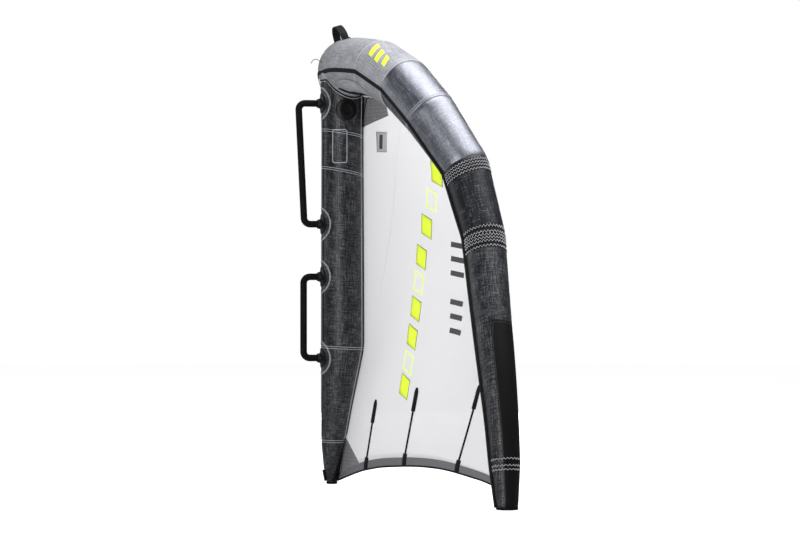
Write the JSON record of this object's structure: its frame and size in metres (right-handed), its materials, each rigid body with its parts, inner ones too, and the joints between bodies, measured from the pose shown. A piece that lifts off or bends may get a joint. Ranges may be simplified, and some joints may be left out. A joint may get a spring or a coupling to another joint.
{
  "type": "foil wing",
  "caption": "Inflatable hand-held wing for foil boarding, with a curved leading edge tube, a centre strut, rigid grip bars and a battened cloth canopy, standing on its strut end and tips.",
  "frame": {"origin": "on the floor, under the middle of the wing's bounding box, measured without the loose leash line", "axes": "+X away from the grip bars, towards the outside of the canopy; +Y towards the right-hand tip, with the valve on the other side of the strut; +Z from the trailing edge up to the leading edge"},
  "size_m": [0.684, 2.8088, 2.0187],
  "materials": {
    "pale_casing_cloth": "woven polyester casing, light grey, matt",
    "dark_casing_cloth": "woven polyester casing, blue-black with a paler crosshatch, slight sheen",
    "ripstop": "thin white ripstop, lets light through",
    "hem_cloth": "grey woven hem tape",
    "webbing": "black woven polyester webbing",
    "rubber": "matt black rubberised cloth and moulded rubber",
    "grip_coating": "black coated tube with a soft matt grip",
    "black_plastic": "black moulded plastic, fine grain",
    "film": "clear welded polyurethane film",
    "glass_fibre": "pultruded glass fibre strip",
    "spring_steel": "stainless spring wire",
    "leash_line": "braided line"
  },
  "bodies": {
    "wing": {"batten_1_left": "glass_fibre", "batten_1_right": "glass_fibre", "batten_2_left": "glass_fibre", "batten_2_right": "glass_fibre", "batten_3_left": "glass_fibre", "batten_3_right": "glass_fibre", "batten_sleeve_1_left": "webbing", "batten_sleeve_1_right": "webbing", "batten_sleeve_2_left": "webbing", "batten_sleeve_2_right": "webbing", "batten_sleeve_3_left": "webbing", "batten_sleeve_3_right": "webbing", "canopy_left": "ripstop", "canopy_right": "ripstop", "front_handle": "grip_coating", "front_handle_base_lower": "black_plastic", "front_handle_base_upper": "black_plastic", "hose_clip": "black_plastic", "le_bladder": "film", "le_panel_1_left": "pale_casing_cloth", "le_panel_1_right": "pale_casing_cloth", "le_panel_2_left": "dark_casing_cloth", "le_panel_2_right": "dark_casing_cloth", "le_panel_3_left": "dark_casing_cloth", "le_panel_3_right": "dark_casing_cloth", "le_panel_4_left": "dark_casing_cloth", "le_panel_4_right": "dark_casing_cloth", "le_panel_5_left": "dark_casing_cloth", "le_panel_5_right": "dark_casing_cloth", "le_panel_6_left": "dark_casing_cloth", "le_panel_6_right": "dark_casing_cloth", "le_panel_centre": "pale_casing_cloth", "le_webbing_handle": "webbing", "le_welt_left": "webbing", "le_welt_right": "webbing", "leash_line": "leash_line", "rear_handle": "grip_coating", "rear_handle_base_lower": "black_plastic", "rear_handle_base_upper": "black_plastic", "scuff_pad_left": "rubber", "scuff_pad_right": "rubber", "strut_bladder": "film", "strut_panel_1": "dark_casing_cloth", "strut_panel_2": "dark_casing_cloth", "strut_panel_3": "dark_casing_cloth", "strut_panel_4": "dark_casing_cloth", "strut_tail_cap": "rubber", "te_band_left": "hem_cloth", "te_band_right": "hem_cloth", "tip_cap_left": "rubber", "tip_cap_right": "rubber", "transfer_hose": "rubber", "valve_base": "black_plastic"},
    "valve_cap": {"valve_cap": "black_plastic"},
    "valve_insert": {"valve_insert": "black_plastic", "valve_spring": "spring_steel"},
    "valve_plunger": {"valve_plunger": "rubber"},
    "clip_lever": {"hose_clip_lever": "black_plastic"}
  },
  "joints": [
    {"name": "valve_cap_hinge", "type": "hinge", "parent": "wing", "child": "valve_cap", "pos_m": [-0.13585, -0.10273, 1.6012], "axis": [1, 0, 0], "range_deg": [0, 110]},
    {"name": "valve_insert_turn", "type": "hinge", "parent": "wing", "child": "valve_insert", "pos_m": [-0.13585, -0.09213, 1.6405], "axis": [0, -1, 0], "range_deg": [0, 90]},
    {"name": "valve_plunger_push", "type": "slide", "parent": "valve_insert", "child": "valve_plunger", "axis": [0, 1, 0], "range_m": [0, 0.006], "stiffness_N_per_m": 300, "springref_m": -0.003, "deforming": ["valve_spring"]},
    {"name": "clip_lever_hinge", "type": "hinge", "parent": "wing", "child": "clip_lever", "pos_m": [-0.09818, -0.011, 1.7032], "axis": [0, 0, 1], "range_deg": [0, 35]}
  ]
}
